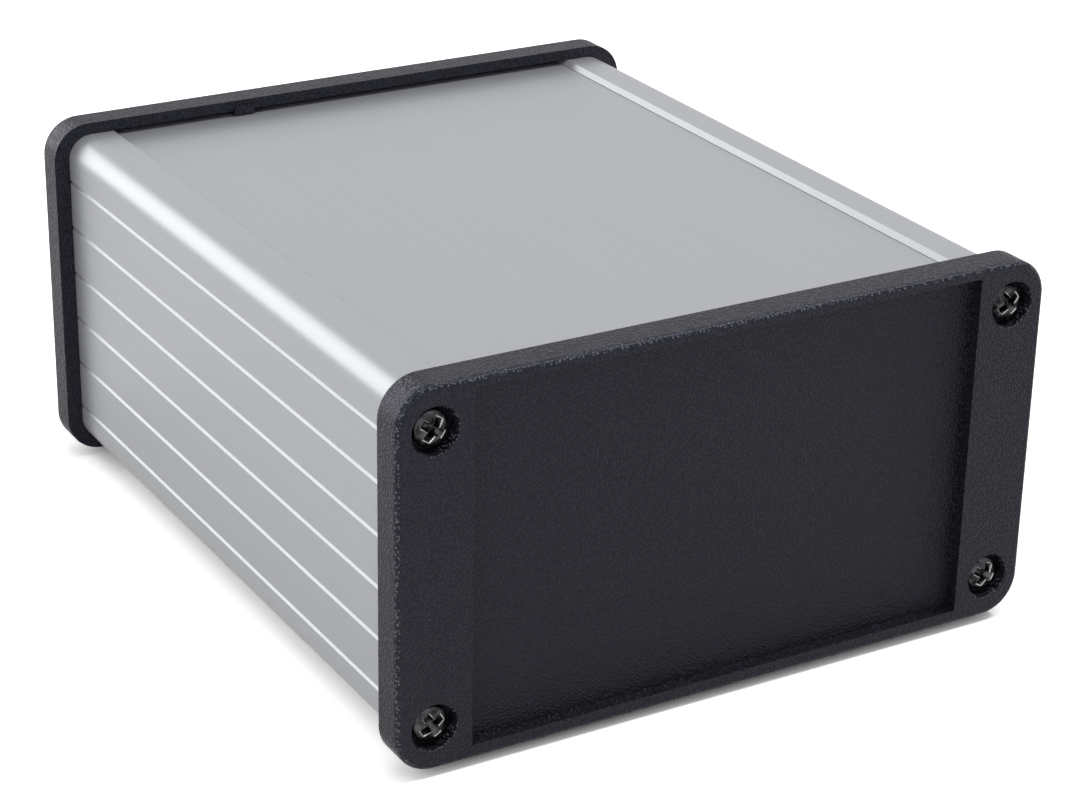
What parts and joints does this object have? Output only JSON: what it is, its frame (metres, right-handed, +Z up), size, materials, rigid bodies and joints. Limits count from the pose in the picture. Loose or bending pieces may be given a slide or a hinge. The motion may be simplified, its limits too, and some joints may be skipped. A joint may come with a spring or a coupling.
{
  "type": "extruded aluminium enclosure",
  "caption": "Small rectangular instrument case: grooved silver aluminium extrusion, slide-in flat cover, black moulded end panels with proud rims and sunk screws, rubber feet.",
  "frame": {"origin": "middle of the case, on the surface that its feet stand on", "axes": "+Y from the front end panel to the rear one, +Z up, +X to the right seen from the front"},
  "size_m": [0.1082, 0.1264, 0.0597],
  "materials": {
    "anodised_aluminium": "clear anodised, fine matt",
    "black_abs": "fine moulded grain",
    "black_steel": "black oxide, oiled",
    "foot_rubber": "smooth matt"
  },
  "bodies": {
    "root": {"body_extrusion": "anodised_aluminium", "slide_cover": "anodised_aluminium", "front_end_panel": "black_abs", "rear_end_panel": "black_abs", "front_screws": "black_steel", "rear_screws": "black_steel", "foot_front_left": "foot_rubber", "foot_front_right": "foot_rubber", "foot_rear_left": "foot_rubber", "foot_rear_right": "foot_rubber"}
  },
  "joints": []
}
